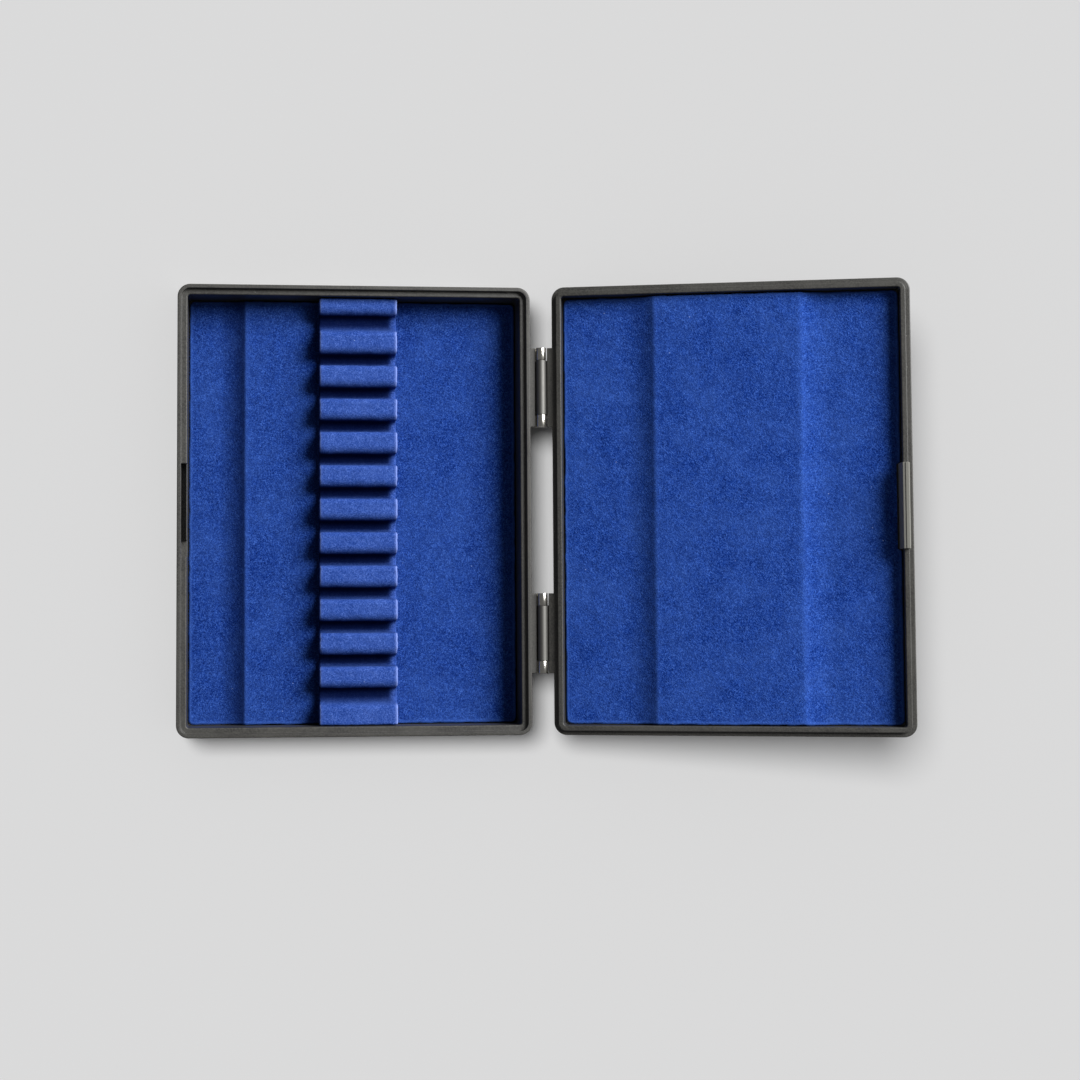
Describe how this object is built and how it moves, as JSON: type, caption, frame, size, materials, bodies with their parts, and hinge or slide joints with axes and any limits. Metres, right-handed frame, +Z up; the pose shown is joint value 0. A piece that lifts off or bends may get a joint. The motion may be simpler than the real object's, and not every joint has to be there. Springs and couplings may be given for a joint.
{
  "type": "hinged slotted storage case",
  "caption": "Shallow hinged rectangular case, open: flock-lined tray with a cross-grooved rack, padded lid with a snap catch, and rolled steel hinges.",
  "frame": {"origin": "centre of the tray's flat underside, which stands on the table", "axes": "+X from the tray towards the lid, across the hinges; +Y along the hinge axis; +Z up, out of the open tray"},
  "size_m": [0.171, 0.107, 0.0382],
  "materials": {
    "case_plastic": "fine moulded satin",
    "flock": "short-pile flock",
    "rack_flock": "short-pile flock",
    "board": "grey board",
    "foam": "open-cell foam",
    "hinge_steel": "bright plated",
    "pin_steel": "drawn wire"
  },
  "bodies": {
    "tray": {"tray_shell": "case_plastic", "tray_shelf_pad": "board", "tray_lining": "flock", "needle_rack": "rack_flock", "upper_hinge_tray_leaf": "hinge_steel", "lower_hinge_tray_leaf": "hinge_steel", "upper_hinge_pin": "pin_steel", "lower_hinge_pin": "pin_steel"},
    "lid": {"lid_shell": "case_plastic", "lid_pressure_pad": "foam", "lid_lining": "flock", "upper_hinge_lid_leaf": "hinge_steel", "lower_hinge_lid_leaf": "hinge_steel"}
  },
  "joints": [
    {"name": "lid_hinge", "type": "hinge", "parent": "tray", "child": "lid", "pos_m": [0.0446, 0, 0.013], "axis": [0, -1, 0], "range_deg": [0, 165]}
  ]
}
